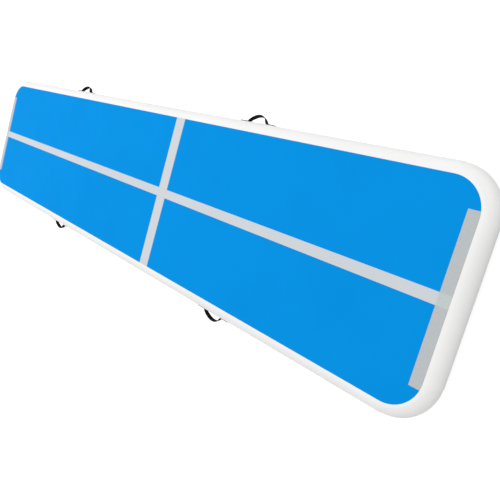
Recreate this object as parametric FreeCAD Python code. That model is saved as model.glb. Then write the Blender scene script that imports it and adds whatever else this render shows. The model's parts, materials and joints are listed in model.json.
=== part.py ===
"""Inflatable tumbling track: a drop-stitch air mat with carry handles and an inflation valve.

Frame: origin on the floor under the middle of the mat, +X towards the front end, +Y to the left
long side, +Z up. The valve is in the middle of the rear end wall. All sizes are in millimetres.
"""
import FreeCAD, Part
import math
import os

V = FreeCAD.Vector
X_AXIS = V(1, 0, 0)
Y_AXIS = V(0, 1, 0)
Z_AXIS = V(0, 0, 1)

# ---- Mat: overall size and layers ------------------------------------------------------------
LENGTH = 4500.0            # over the bulging end walls
WIDTH = 1000.0             # over the bulging side walls
THICKNESS = 100.0
CORNER_RADIUS = 146.0      # plan radius of the wall's centre line at the four corners
WALL_LIP = 6.0             # flat edge of the wall, level with the deck
DECK_SKIN = 1.2            # coated fabric of the two decks
WALL_SKIN = 1.2            # outer layer of the side wall
GLUE_GAP = 0.6             # glue line between the two wall layers
BAND_SKIN = 1.0            # inner layer of the side wall
BAND_HALF_ANGLE = 75.0     # how far the inner layer reaches round the bulge, in degrees
SEAM_TAPE_WIDTH = 18.0
SEAM_TAPE_SKIN = 0.8

BULGE = THICKNESS / 2              # radius of the rounded wall
TUBE_X = LENGTH / 2 - BULGE        # centre line of the wall, from the middle of the mat
TUBE_Y = WIDTH / 2 - BULGE
STRAIGHT_X = TUBE_X - CORNER_RADIUS
STRAIGHT_Y = TUBE_Y - CORNER_RADIUS
MID_Z = THICKNESS / 2
DECK_X = TUBE_X - WALL_LIP         # edge of the coloured deck
DECK_Y = TUBE_Y - WALL_LIP

# ---- Drop-stitch yarn bundles ------------------------------------------------------------------
YARN_PITCH_X = 120.0
YARN_PITCH_Y = 100.0
YARN_ROWS_X = 35
YARN_ROWS_Y = 8
YARN_RADIUS = 1.0
YARN_SIDES = 6

# ---- Markings and hook-and-loop tapes on the deck ----------------------------------------------
STRIPE_SKIN = 0.4
CENTRE_STRIPE_WIDTH = 50.0
CROSS_STRIPE_WIDTH = 80.0
CROSS_STRIPE_X = 366.0
LOOP_TAPE_WIDTH = 50.0
LOOP_TAPE_LENGTH = 670.0
LOOP_TAPE_THICK = 1.5

# ---- Carry handles -----------------------------------------------------------------------------
# name, x of the middle, side (+1 left, -1 right)
HANDLES = (
    ("left_front", 945.0, 1),
    ("left_rear", -950.0, 1),
    ("right_front", 1010.0, -1),
    ("right_rear", -875.0, -1),
)
WEBBING_WIDTH = 25.0
WEBBING_THICK = 2.8
HANDLE_SPAN = 150.0        # between the two roots
HANDLE_REACH = 40.0        # middle of the webbing from the patch, at the top of the loop
HANDLE_LEG_ANGLE = 45.0    # slope of the loop's legs, in degrees
HANDLE_ROOT_BEND = 18.0    # bend radius where the webbing leaves the wall
HANDLE_TAB = 45.0          # length sewn down at each root
PIVOT_REACH = 5.0          # swing axis of the loop, from the patch
PIVOT_GAP = 0.3            # between the moving loop and the sewn end, at the swing axis
SWING = 45.0               # the loop swings this far up and down from level, in degrees
SAG = 18.0                 # and rests this far below level
PATCH_SKIN = 1.2
PATCH_LENGTH = 270.0
PATCH_HALF_HEIGHT = 26.0
PATCH_CORNER = 14.0
TACK_LENGTH = 3.0
TACK_THICK = 0.6
TACK_HALF_ANGLE = 11.0
TACK_INSETS = (6.0, 38.0)  # of the two bar tacks along each sewn end

# ---- Inflation valve: radii, and levels measured outwards from the end wall's outermost line ----
VALVE_HOLE = 16.2
PAD_RADIUS = 28.0
PAD_FACE = 1.0
GASKET_RADIUS = 24.0
GASKET_TOP = 1.8
COLLAR_RADIUS = 25.0
COLLAR_TOP = 3.0
FLANGE_RADIUS = 24.0
FLANGE_TOP = 5.5
BARREL_RADIUS = 16.0
BARREL_BORE = 13.0
BARREL_END = -30.0
NECK_RADIUS = 18.0
NECK_TOP = 13.0
SOCKET_RADIUS = 15.0       # pump nozzle seat inside the neck
SOCKET_FLOOR = 5.0
SEAT_BORE = 8.5
SEAT_TOP = -10.0
SEAT_BOTTOM = -13.0
HUB_RADIUS = 4.5
ARM_WIDTH = 2.5
ARM_COUNT = 3
NUT_RADIUS = 25.0
NUT_BORE = 16.1
NUT_TOP = -12.0
NUT_BOTTOM = -18.0
NUT_NOTCHES = 8
NUT_NOTCH_RADIUS = 3.0
BAND_HOLE = 26.0
STEM_RADIUS = 2.5
STEM_END = -20.0
BUTTON_RADIUS = 6.0
BUTTON_TOP = 4.6
BUTTON_BOTTOM = 2.0
CUP_RADIUS = 6.5
CUP_BOTTOM = 1.0
RUNNING_GAP = 0.08         # radial clearance of the stem in the hub and in the spring cup
SEAL_RADIUS = 11.5
SEAL_TOP = -13.3
SEAL_BOTTOM = -16.0
STEM_COLLAR_RADIUS = 4.0
STEM_COLLAR_END = -18.0
SPRING_RADIUS = 4.4
SPRING_WIRE = 0.5          # radius of the wire
SPRING_WIRE_SIDES = 8
SPRING_TURNS = 4.0
SPRING_CLEAR = 0.2         # between the end coils and the faces that they press on

# ---- Valve cap and its leash ---------------------------------------------------------------------
CAP_RADIUS = 21.8
CAP_BORE = 19.0
CAP_BOTTOM = 8.0
CAP_INNER_TOP = 13.5
CAP_TOP = 15.5
CAP_GROOVE_RADIUS = 20.6
CAP_GROOVE = (10.0, 12.0)
CAP_GRIPS = 24
CAP_GRIP_RADIUS = 1.1
CAP_GASKET_RADII = (14.5, 18.5)
CAP_GASKET_BOTTOM = 13.05
LEASH_RING_RADII = (20.9, 24.3)
LEASH_RING_LEVELS = (10.2, 11.8)
LEASH_WIDTH = 10.0
LEASH_HINGE_Y = 31.0
LEASH_HINGE_LEVEL = 2.4
LEASH_ARM_HALF = 1.0
LEASH_FOOT = 3.3
TONGUE_END_Y = 30.2


# ---- Shape helpers -----------------------------------------------------------------------------
def box(low, high):
    """A box between two opposite corners."""
    return Part.makeBox(high[0] - low[0], high[1] - low[1], high[2] - low[2], V(*low))


def as_solid(shape):
    """The same shape with its volume positive."""
    return shape.reversed() if shape.Volume < 0 else shape


def fused(shapes):
    """One solid from several that share faces."""
    return as_solid(shapes[0].multiFuse(shapes[1:]).removeSplitter())


def arc(start, middle, end):
    return Part.Arc(start, middle, end).toShape()


def face_of(edges):
    return Part.Face(Part.Wire(edges))


def mat_outline(offset, low_z, high_z):
    """The mat's plan shape, offset outwards from the wall's centre line, as a plate."""
    half_x = TUBE_X + offset
    half_y = TUBE_Y + offset
    plate = box((-half_x, -half_y, low_z), (half_x, half_y, high_z))
    upright = [e for e in plate.Edges if abs(e.tangentAt(e.FirstParameter).z) > 0.9]
    return plate.makeFillet(CORNER_RADIUS + offset, upright)


# ---- The rounded wall: sections are drawn in (outwards, up) and placed by a function -------------
def wall_section(place):
    """C-shaped skin with a flat lip at its top and bottom."""
    inner = BULGE - WALL_SKIN
    top, low_top = THICKNESS, THICKNESS - WALL_SKIN
    return face_of([
        Part.makeLine(place(-WALL_LIP, top), place(0, top)),
        arc(place(0, top), place(BULGE, MID_Z), place(0, 0)),
        Part.makeLine(place(0, 0), place(-WALL_LIP, 0)),
        Part.makeLine(place(-WALL_LIP, 0), place(-WALL_LIP, WALL_SKIN)),
        Part.makeLine(place(-WALL_LIP, WALL_SKIN), place(0, WALL_SKIN)),
        arc(place(0, WALL_SKIN), place(inner, MID_Z), place(0, low_top)),
        Part.makeLine(place(0, low_top), place(-WALL_LIP, low_top)),
        Part.makeLine(place(-WALL_LIP, low_top), place(-WALL_LIP, top)),
    ])


def bulge_section(place, inner, outer, half_angle):
    """A layer of the bulge between two radii, as far up and down as half_angle."""
    def at(radius, degrees):
        turn = math.radians(degrees)
        return place(radius * math.cos(turn), MID_Z + radius * math.sin(turn))

    return face_of([
        arc(at(outer, -half_angle), at(outer, 0), at(outer, half_angle)),
        Part.makeLine(at(outer, half_angle), at(inner, half_angle)),
        arc(at(inner, half_angle), at(inner, 0), at(inner, -half_angle)),
        Part.makeLine(at(inner, -half_angle), at(outer, -half_angle)),
    ])


def band_section(place):
    outer = BULGE - WALL_SKIN - GLUE_GAP
    return bulge_section(place, outer - BAND_SKIN, outer, BAND_HALF_ANGLE)


def along_side(section, side):
    """A section run along the straight part of one long side: +1 left, -1 right."""
    face = section(lambda out, up: V(-STRAIGHT_X, side * (TUBE_Y + out), up))
    return as_solid(face.extrude(V(2 * STRAIGHT_X, 0, 0)))


def along_end(section, end):
    """A section run along the straight part of one end: +1 front, -1 rear."""
    face = section(lambda out, up: V(end * (TUBE_X + out), -STRAIGHT_Y, up))
    return as_solid(face.extrude(V(0, 2 * STRAIGHT_Y, 0)))


def round_corner(section, end, side):
    """A section turned a quarter round one corner of the mat."""
    centre = V(end * STRAIGHT_X, side * STRAIGHT_Y, 0)
    face = section(lambda out, up: centre + V(end * (CORNER_RADIUS + out), 0, up))
    return as_solid(face.revolve(centre, V(0, 0, end * side), 90))


def end_wall(end):
    return fused([along_end(wall_section, end)] + [round_corner(wall_section, end, s) for s in (1, -1)])


def inner_side_band():
    pieces = [along_side(band_section, side) for side in (1, -1)]
    pieces += [along_end(band_section, end) for end in (1, -1)]
    pieces += [round_corner(band_section, end, side) for end in (1, -1) for side in (1, -1)]
    return fused(pieces).cut(valve_disc(BAND_HOLE, -BULGE, 0))


def seam_tape(low_z):
    """Flat ring inside the mat that bridges the joint of a deck and the wall's lip."""
    high_z = low_z + SEAM_TAPE_SKIN
    return mat_outline(0, low_z, high_z).cut(mat_outline(-SEAM_TAPE_WIDTH, low_z, high_z))


# ---- Yarns, markings and tapes -------------------------------------------------------------------
def drop_stitch_yarns():
    """Upright bundles of thread in a grid, each from deck to deck."""
    corners = [V(YARN_RADIUS * math.cos(2 * math.pi * i / YARN_SIDES),
                 YARN_RADIUS * math.sin(2 * math.pi * i / YARN_SIDES), DECK_SKIN)
               for i in range(YARN_SIDES)]
    hexagon = Part.Face(Part.makePolygon(corners + corners[:1]))
    bundle = hexagon.extrude(V(0, 0, THICKNESS - 2 * DECK_SKIN))
    bundles = []
    for i in range(YARN_ROWS_X):
        for j in range(YARN_ROWS_Y):
            x = (i - (YARN_ROWS_X - 1) / 2) * YARN_PITCH_X
            y = (j - (YARN_ROWS_Y - 1) / 2) * YARN_PITCH_Y
            bundles.append(bundle.translated(V(x, y, 0)))
    return Part.makeCompound(bundles)


def centre_stripe():
    half = CENTRE_STRIPE_WIDTH / 2
    return box((-DECK_X, -half, THICKNESS), (DECK_X, half, THICKNESS + STRIPE_SKIN))


def cross_stripe():
    """Two strips, one from each side of the centre stripe to the edge of the deck."""
    half = CROSS_STRIPE_WIDTH / 2
    inner = CENTRE_STRIPE_WIDTH / 2
    low_x, high_x = CROSS_STRIPE_X - half, CROSS_STRIPE_X + half
    top = THICKNESS + STRIPE_SKIN
    return Part.makeCompound([
        box((low_x, inner, THICKNESS), (high_x, DECK_Y, top)),
        box((low_x, -DECK_Y, THICKNESS), (high_x, -inner, top)),
    ])


def loop_tape(end):
    """Tape across one end, laid over the centre stripe, its outer edge on the deck's outline."""
    near, far = end * (DECK_X - LOOP_TAPE_WIDTH), end * DECK_X
    half = LOOP_TAPE_LENGTH / 2
    top = THICKNESS + LOOP_TAPE_THICK
    strip = box((min(near, far), -half, THICKNESS), (max(near, far), half, top))
    return strip.common(mat_outline(-WALL_LIP, THICKNESS, top)).cut(centre_stripe())


# ---- Carry handles: a loop is drawn in (along the wall, away from the patch) ----------------------
HANDLE_ANGLE = math.radians(HANDLE_LEG_ANGLE)
HANDLE_LEG = (HANDLE_REACH - WEBBING_THICK / 2) / math.tan(HANDLE_ANGLE / 2) - HANDLE_SPAN / 2
HANDLE_CROWN_BEND = ((HANDLE_SPAN / 2 - HANDLE_LEG * math.cos(HANDLE_ANGLE)) / math.sin(HANDLE_ANGLE)
                     - HANDLE_ROOT_BEND)
PATCH_FACE_Y = WIDTH / 2 + PATCH_SKIN


def loop_edge(offset):
    """Corner and mid-arc points of one edge of the loop, from the +X root to its crown."""
    def root(turn):
        radius = HANDLE_ROOT_BEND - offset
        return (HANDLE_SPAN / 2 - radius * math.sin(turn),
                WEBBING_THICK / 2 + HANDLE_ROOT_BEND - radius * math.cos(turn))

    def crown(turn):
        radius = HANDLE_CROWN_BEND + offset
        return (radius * math.sin(turn), HANDLE_REACH - HANDLE_CROWN_BEND + radius * math.cos(turn))

    return [root(0), root(HANDLE_ANGLE / 2), root(HANDLE_ANGLE), crown(HANDLE_ANGLE), crown(0)]


def webbing_arch():
    """The whole strap between its roots, its width along Z and centred on z = 0."""
    def edges(offset):
        root, root_mid, leg, shoulder, crown = [V(a, b, 0) for a, b in loop_edge(offset)]
        left = [V(-p.x, p.y, 0) for p in (shoulder, leg, root_mid, root)]
        return [
            arc(root, root_mid, leg), Part.makeLine(leg, shoulder), arc(shoulder, crown, left[0]),
            Part.makeLine(left[0], left[1]), arc(left[1], left[2], left[3]),
        ], root, left[3]

    outer, outer_start, outer_end = edges(WEBBING_THICK / 2)
    inner, inner_start, inner_end = edges(-WEBBING_THICK / 2)
    ends = [Part.makeLine(outer_start, inner_start), Part.makeLine(outer_end, inner_end)]
    face = Part.Face(Part.Wire(Part.__sortEdges__(outer + inner + ends)))
    strap = as_solid(face.extrude(V(0, 0, WEBBING_WIDTH)))
    strap.translate(V(0, 0, -WEBBING_WIDTH / 2))
    return strap


def swing_room():
    """The space that the moving loop may fill so that it can swing clear of its sewn ends."""
    start = PIVOT_REACH + PIVOT_GAP
    depth = 2 * HANDLE_REACH
    rise = depth / math.tan(math.radians(SWING))
    corners = [V(-HANDLE_SPAN, start, 0), V(-HANDLE_SPAN, start + depth, rise),
               V(-HANDLE_SPAN, start + depth, -rise)]
    wedge = Part.Face(Part.makePolygon(corners + corners[:1]))
    return as_solid(wedge.extrude(V(2 * HANDLE_SPAN, 0, 0)))


def on_wall(shape, x, side):
    """Move a shape from the handle's own frame to its place on a side wall."""
    moved = shape.copy()
    if side < 0:
        moved.rotate(V(0, 0, 0), Z_AXIS, 180)
    moved.translate(V(x, side * PATCH_FACE_Y, MID_Z))
    return moved


def handle_loop(x, side):
    """The free part of the strap, swung down about its axis to where it rests."""
    loop = webbing_arch().common(swing_room())
    loop.rotate(V(0, PIVOT_REACH, 0), X_AXIS, -SAG)
    return on_wall(loop, x, side)


def curved_strip(low_x, high_x, side, inner, outer, half_angle):
    """A strip of the bulge on one long side, between two radii."""
    face = bulge_section(lambda out, up: V(low_x, side * (TUBE_Y + out), up), inner, outer, half_angle)
    return as_solid(face.extrude(V(high_x - low_x, 0, 0)))


def handle_ends(x, side):
    """Both sewn ends: a curved tab on the patch and the first few millimetres of the bend."""
    inner = BULGE + PATCH_SKIN
    outer = inner + WEBBING_THICK
    half_angle = math.degrees(WEBBING_WIDTH / 2 / outer)
    below_pivot = box((-HANDLE_SPAN, 0, -WEBBING_WIDTH), (HANDLE_SPAN, PIVOT_REACH - PIVOT_GAP, WEBBING_WIDTH))
    stubs = on_wall(webbing_arch().common(below_pivot), x, side)
    ends = []
    for direction in (1, -1):
        root = x + direction * HANDLE_SPAN / 2
        tip = root + direction * HANDLE_TAB
        tab = curved_strip(min(root, tip), max(root, tip), side, inner, outer, half_angle)
        stub = min(stubs.Solids, key=lambda s: abs(s.CenterOfMass.x - root))
        ends.append(fused([tab, stub]))
    return Part.makeCompound(ends)


def handle_patch(x, side):
    """Rounded patch welded to the wall under one handle."""
    half = PATCH_LENGTH / 2
    half_angle = math.degrees(math.asin(PATCH_HALF_HEIGHT / BULGE)) + 5
    strip = curved_strip(x - half, x + half, side, BULGE, BULGE + PATCH_SKIN, half_angle)
    low_y, high_y = sorted((side * TUBE_Y, side * (WIDTH / 2 + 2 * PATCH_SKIN)))
    outline = box((x - half, low_y, MID_Z - PATCH_HALF_HEIGHT), (x + half, high_y, MID_Z + PATCH_HALF_HEIGHT))
    across = [e for e in outline.Edges if abs(e.tangentAt(e.FirstParameter).y) > 0.9]
    return strip.common(outline.makeFillet(PATCH_CORNER, across))


def handle_bar_tacks():
    """Dense cross stitches that hold the sewn ends, two on each."""
    inner = BULGE + PATCH_SKIN + WEBBING_THICK
    tacks = []
    for _, x, side in HANDLES:
        for direction in (1, -1):
            for inset in TACK_INSETS:
                middle = x + direction * (HANDLE_SPAN / 2 + inset)
                tacks.append(curved_strip(middle - TACK_LENGTH / 2, middle + TACK_LENGTH / 2, side,
                                          inner, inner + TACK_THICK, TACK_HALF_ANGLE))
    return Part.makeCompound(tacks)


# ---- Inflation valve: every piece is turned about one axis through the rear end wall --------------
def valve_point(level, y=0.0, up=0.0):
    """A point given by its level outwards from the end wall, and its place across the axis."""
    return V(-LENGTH / 2 - level, y, MID_Z + up)


def valve_disc(radius, low, high):
    return Part.makeCylinder(radius, high - low, valve_point(low), -X_AXIS)


def valve_ring(inner, outer, low, high):
    return valve_disc(outer, low, high).cut(valve_disc(inner, low, high))


def valve_block(y_range, level_range, width):
    """A block centred on the valve's level plane, between two y values and two levels."""
    low, high = level_range
    corner = valve_point(high, y_range[0], -width / 2)
    return Part.makeBox(high - low, y_range[1] - y_range[0], width, corner)


def rear_tube(radius):
    """The rear end's bulge as a solid cylinder along Y."""
    return Part.makeCylinder(radius, WIDTH, V(-TUBE_X, -WIDTH / 2, MID_Z), Y_AXIS)


def valve_pad():
    """Saddle that gives the round wall a flat face for the valve."""
    return valve_ring(VALVE_HOLE, PAD_RADIUS, -BULGE / 2, PAD_FACE).cut(rear_tube(BULGE))


def valve_washer():
    """Saddle on the inside of the wall, under the clamp nut."""
    return valve_ring(NUT_BORE, NUT_RADIUS, NUT_TOP, 0).common(rear_tube(BULGE - WALL_SKIN))


def valve_nut():
    notches = []
    for i in range(NUT_NOTCHES):
        turn = 2 * math.pi * i / NUT_NOTCHES
        start = valve_point(NUT_BOTTOM, NUT_RADIUS * math.cos(turn), NUT_RADIUS * math.sin(turn))
        notches.append(Part.makeCylinder(NUT_NOTCH_RADIUS, NUT_TOP - NUT_BOTTOM, start, -X_AXIS))
    return valve_ring(NUT_BORE, NUT_RADIUS, NUT_BOTTOM, NUT_TOP).cut(Part.makeCompound(notches))


def valve_body():
    """Barrel through the wall, with the flange and the neck that holds the pump's nozzle."""
    outside = fused([
        valve_disc(BARREL_RADIUS, BARREL_END, COLLAR_TOP),
        valve_disc(FLANGE_RADIUS, COLLAR_TOP, FLANGE_TOP),
        valve_disc(NECK_RADIUS, FLANGE_TOP, NECK_TOP),
    ])
    hollow = fused([
        valve_disc(BARREL_BORE, BARREL_END, SOCKET_FLOOR),
        valve_disc(SOCKET_RADIUS, SOCKET_FLOOR, NECK_TOP),
    ])
    return outside.cut(hollow)


def valve_seat():
    """Ring pressed into the barrel, with a three-armed hub that guides the stem."""
    pieces = [
        valve_ring(SEAT_BORE, BARREL_BORE, SEAT_BOTTOM, SEAT_TOP),
        valve_disc(HUB_RADIUS, SEAT_BOTTOM, SEAT_TOP),
    ]
    for i in range(ARM_COUNT):
        arm = valve_block((0, (SEAT_BORE + BARREL_BORE) / 2), (SEAT_BOTTOM, SEAT_TOP), ARM_WIDTH)
        arm.rotate(valve_point(0), X_AXIS, 360 * i / ARM_COUNT)
        pieces.append(arm)
    return fused(pieces).cut(valve_disc(STEM_RADIUS + RUNNING_GAP, SEAT_BOTTOM, SEAT_TOP))


def valve_stem():
    """Stem with the push button outside and a collar under the sealing disc inside."""
    return fused([
        valve_disc(STEM_RADIUS, STEM_END, BUTTON_BOTTOM),
        valve_disc(BUTTON_RADIUS, BUTTON_BOTTOM, BUTTON_TOP),
        valve_disc(STEM_COLLAR_RADIUS, STEM_COLLAR_END, SEAL_BOTTOM),
    ])


def valve_spring():
    """Coil spring between the hub and the spring cup."""
    low, high = SEAT_TOP + SPRING_CLEAR + SPRING_WIRE, CUP_BOTTOM - SPRING_CLEAR - SPRING_WIRE
    rise = high - low
    path = Part.Wire(Part.makeHelix(rise / SPRING_TURNS, rise, SPRING_RADIUS))
    turns = [2 * math.pi * i / SPRING_WIRE_SIDES for i in range(SPRING_WIRE_SIDES + 1)]
    wire = Part.makePolygon([V(SPRING_RADIUS + SPRING_WIRE * math.cos(t), 0, SPRING_WIRE * math.sin(t))
                             for t in turns])
    coil = as_solid(path.makePipeShell([wire], True, True))
    coil.rotate(V(0, 0, 0), Y_AXIS, -90)
    coil.translate(valve_point(low))
    return coil


def leash_collar():
    """Ring clamped under the flange, with a tongue that ends at the leash's flex point."""
    ring = valve_ring(VALVE_HOLE, COLLAR_RADIUS, GASKET_TOP, COLLAR_TOP)
    tongue = valve_block((COLLAR_RADIUS - 2 * LEASH_ARM_HALF, TONGUE_END_Y), (GASKET_TOP, COLLAR_TOP), LEASH_WIDTH)
    return fused([ring, tongue])


def cap_leash():
    """Swivel ring in the cap's groove and the arm that swings it about the flex point."""
    low, high = LEASH_RING_LEVELS
    inner, outer = LEASH_RING_RADII
    arm_low, arm_high = LEASH_HINGE_Y - LEASH_ARM_HALF, LEASH_HINGE_Y + LEASH_ARM_HALF
    return fused([
        valve_ring(inner, outer, low, high),
        valve_block(((inner + outer) / 2, arm_high), (low, high), LEASH_WIDTH),
        valve_block((arm_low, arm_high), (LEASH_FOOT, high), LEASH_WIDTH),
    ])


def cap_shell():
    """Cap with a skirt over the neck, a groove for its leash and a scalloped grip."""
    solid = valve_disc(CAP_RADIUS, CAP_BOTTOM, CAP_TOP)
    groove = valve_ring(CAP_GROOVE_RADIUS, CAP_RADIUS + 1, *CAP_GROOVE)
    grips = []
    for i in range(CAP_GRIPS):
        turn = 2 * math.pi * i / CAP_GRIPS
        start = valve_point(CAP_GROOVE[1] + CAP_GRIP_RADIUS, CAP_RADIUS * math.cos(turn),
                            CAP_RADIUS * math.sin(turn))
        grips.append(Part.makeCylinder(CAP_GRIP_RADIUS, CAP_TOP, start, -X_AXIS))
    return solid.cut(valve_disc(CAP_BORE, CAP_BOTTOM, CAP_INNER_TOP)).cut(groove).cut(Part.makeCompound(grips))


# ---- All nodes -------------------------------------------------------------------------------------
def all_nodes():
    nodes = {
        "top_deck": mat_outline(-WALL_LIP, THICKNESS - DECK_SKIN, THICKNESS),
        "bottom_deck": mat_outline(-WALL_LIP, 0, DECK_SKIN),
        "drop_stitch_yarns": drop_stitch_yarns(),
        "left_side_wall": along_side(wall_section, 1),
        "right_side_wall": along_side(wall_section, -1),
        "front_end_wall": end_wall(1),
        "rear_end_wall": end_wall(-1).cut(valve_disc(VALVE_HOLE, -BULGE, BULGE)),
        "inner_side_band": inner_side_band(),
        "top_seam_tape": seam_tape(THICKNESS - DECK_SKIN - SEAM_TAPE_SKIN),
        "bottom_seam_tape": seam_tape(DECK_SKIN),
        "centre_stripe": centre_stripe(),
        "cross_stripe": cross_stripe(),
        "front_loop_tape": loop_tape(1),
        "rear_loop_tape": loop_tape(-1),
        "handle_bar_tacks": handle_bar_tacks(),
        "valve_pad": valve_pad(),
        "valve_gasket": valve_ring(VALVE_HOLE, GASKET_RADIUS, PAD_FACE, GASKET_TOP),
        "leash_collar": leash_collar(),
        "valve_body": valve_body(),
        "valve_seat": valve_seat(),
        "valve_washer": valve_washer(),
        "valve_nut": valve_nut(),
        "valve_spring": valve_spring(),
        "valve_spring_cup": valve_ring(STEM_RADIUS + RUNNING_GAP, CUP_RADIUS, CUP_BOTTOM, BUTTON_BOTTOM),
        "valve_stem": valve_stem(),
        "valve_seal": valve_ring(STEM_RADIUS, SEAL_RADIUS, SEAL_BOTTOM, SEAL_TOP),
        "cap_leash": cap_leash(),
        "cap_shell": cap_shell(),
        "cap_gasket": valve_ring(*CAP_GASKET_RADII, CAP_GASKET_BOTTOM, CAP_INNER_TOP),
    }
    for name, x, side in HANDLES:
        nodes[name + "_handle_patch"] = handle_patch(x, side)
        nodes[name + "_handle_ends"] = handle_ends(x, side)
        nodes[name + "_handle_loop"] = handle_loop(x, side)
    return nodes


os.makedirs("parts", exist_ok=True)
for node, shape in all_nodes().items():
    shape.exportStep("parts/" + node + ".step")
    print(node, "solids", len(shape.Solids), "valid", shape.isValid(), "volume", round(shape.Volume))
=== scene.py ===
"""Looks of the inflatable tumbling track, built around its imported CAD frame.

Metres, in the row frame: origin on the floor under the middle of the mat, +X towards the front
end, +Y to the left long side, +Z up. The valve is in the middle of the rear end wall.
"""
import bmesh
import bpy
import json
import math
from mathutils import Matrix, Vector, noise


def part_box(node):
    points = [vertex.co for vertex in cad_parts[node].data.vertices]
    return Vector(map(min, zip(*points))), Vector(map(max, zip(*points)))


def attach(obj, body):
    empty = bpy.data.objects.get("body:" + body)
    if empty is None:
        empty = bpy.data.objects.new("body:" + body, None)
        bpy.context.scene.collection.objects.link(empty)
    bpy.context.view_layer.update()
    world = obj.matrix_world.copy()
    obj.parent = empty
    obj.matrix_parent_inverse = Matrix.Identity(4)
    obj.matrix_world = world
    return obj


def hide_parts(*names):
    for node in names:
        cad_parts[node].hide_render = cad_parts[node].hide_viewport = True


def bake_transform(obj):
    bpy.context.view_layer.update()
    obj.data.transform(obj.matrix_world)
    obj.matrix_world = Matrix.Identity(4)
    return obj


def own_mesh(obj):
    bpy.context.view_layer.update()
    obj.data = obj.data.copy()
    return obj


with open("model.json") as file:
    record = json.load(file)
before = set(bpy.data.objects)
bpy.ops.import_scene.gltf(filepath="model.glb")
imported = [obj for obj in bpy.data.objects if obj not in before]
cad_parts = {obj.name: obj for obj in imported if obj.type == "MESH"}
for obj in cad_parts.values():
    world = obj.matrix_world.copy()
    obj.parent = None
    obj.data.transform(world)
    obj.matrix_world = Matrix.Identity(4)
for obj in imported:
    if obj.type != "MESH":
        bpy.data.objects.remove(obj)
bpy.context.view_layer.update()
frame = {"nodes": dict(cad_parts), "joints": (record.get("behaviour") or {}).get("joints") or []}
MM = 0.001
X_AXIS = Vector((1, 0, 0))

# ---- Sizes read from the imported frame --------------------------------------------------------
side_wall_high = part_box("left_side_wall")[1]
STRAIGHT_X = side_wall_high.x
THICKNESS = side_wall_high.z
BULGE = THICKNESS / 2
MID_Z = THICKNESS / 2
TUBE_Y = side_wall_high.y - BULGE
TUBE_X = -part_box("rear_end_wall")[0].x - BULGE
CORNER_RADIUS = TUBE_X - STRAIGHT_X
STRAIGHT_Y = TUBE_Y - CORNER_RADIUS
LIP = TUBE_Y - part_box("top_deck")[1].y
VALVE_X = -TUBE_X - BULGE

# ---- Skins -----------------------------------------------------------------------------------
SKIN = 1.2 * MM
EDGE_SHARES = (0, 0.08, 0.25, 0.55)     # extra points in the band beside a rounded edge
SHARP_DEGREES = 50             # faces that meet at more than this are not shaded smooth

# ---- Walls -----------------------------------------------------------------------------------
LIP_RISE = 0.6 * MM            # the wall's lip laps over the deck
LIP_ROUND = 0.7 * MM           # rounding of the lip's edge
LIP_STEPS = (0, 0.02, 0.05, 0.1, 0.2, 0.45, 0.7)    # shares of the lip's width
LIP_BLEND_FROM = 55            # degrees up the bulge where the lip's rise begins
LIP_BLEND_OVER = 30
BULGE_STEP = 4                 # degrees between the bulge's points
SIDE_STEP = 20 * MM
CORNER_STEPS = 84
END_STEPS = 64
FLOOR_FACING = -0.99           # a normal that points lower than this lies on the floor
INNER_SWELL = 0.5              # share of the swell that the inner face follows
WALL_SWELL = 0.35 * MM         # height of the blown-up wall's unevenness
SWELL_SIZE = 160 * MM
SWELL_FADE = 2.0               # how fast the swell starts off the floor and the deck
CORNER_EASE = 34 * MM          # the bulge turns a corner on a radius this much larger than the lip's
PUCKER_DEPTH = 0.45 * MM
PUCKER_PITCH = 15 * MM
PUCKER_FROM = 0.35             # the normal's slope where the puckers begin
PUCKER_OVER = 0.4
PUCKER_FADE = 5                # how fast they start beside the lips
PUCKER_CORNER = 0.25           # how far into the corner they reach their full depth
PUCKER_DRIFT = 2.2             # radians that they wander
PUCKER_DRIFT_SIZE = 40 * MM
PUCKER_DRIFT_RISE = 20 * MM
PUCKER_SEED = 3.0
SEAM_LAP = 16 * MM             # each end wall laps over the side walls
SEAM_RISE = 0.5 * MM
SEAM_ROWS = 6
SEAM_FADE_ROWS = 12            # rows of the corner over which the lap's rise dies out
VALVE_HOLE = 16.2 * MM         # radius
VALVE_HOLE_SIDES = 64

# ---- Decks -----------------------------------------------------------------------------------
UNDERLAP = 3 * MM              # how far the decks run under the lip
DECK_STEP_X = 20 * MM
DECK_CORNER_ROWS = 20
DECK_COLUMNS = 72
DECK_SAG = 0.35 * MM           # depth of the soft hollows between the threads
SAG_FADE = 50 * MM             # the hollows die out this close to the walls
SAG_SIZE = 220 * MM
SAG_ROW_PITCH = 50 * MM        # the threads' rows
SAG_ROW_SHARE = 0.25

# ---- Stripes and tapes -----------------------------------------------------------------------
STRIPE_ROUND = 0.3 * MM
STRIPE_SINK = 0.3 * MM         # a stripe's under face lies this far below the deck's plane
CENTRE_STRIPE_STEPS = (20 * MM, 8 * MM)     # along X, along Y
CROSS_STRIPE_STEPS = (8 * MM, 12 * MM)
TAPE_STEP = 2.2 * MM
TAPE_EDGE = 1.6 * MM           # band of closer points along a tape's edges
TAPE_ROUND = 0.8 * MM
TAPE_SINK = 0.2 * MM
TAPE_BASE = 0.75               # share of the tape's thickness under its pile
SELVEDGE = 1.5 * MM            # flat edge without pile, and the width over which the pile grows
PILE_HEIGHT = 0.12 * MM
PILE_UNEVEN = 0.3 * MM
PILE_LUMPS = ((7 * MM, 5.0), (2.6 * MM, 9.0))       # size and seed of each layer of lumps

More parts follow.
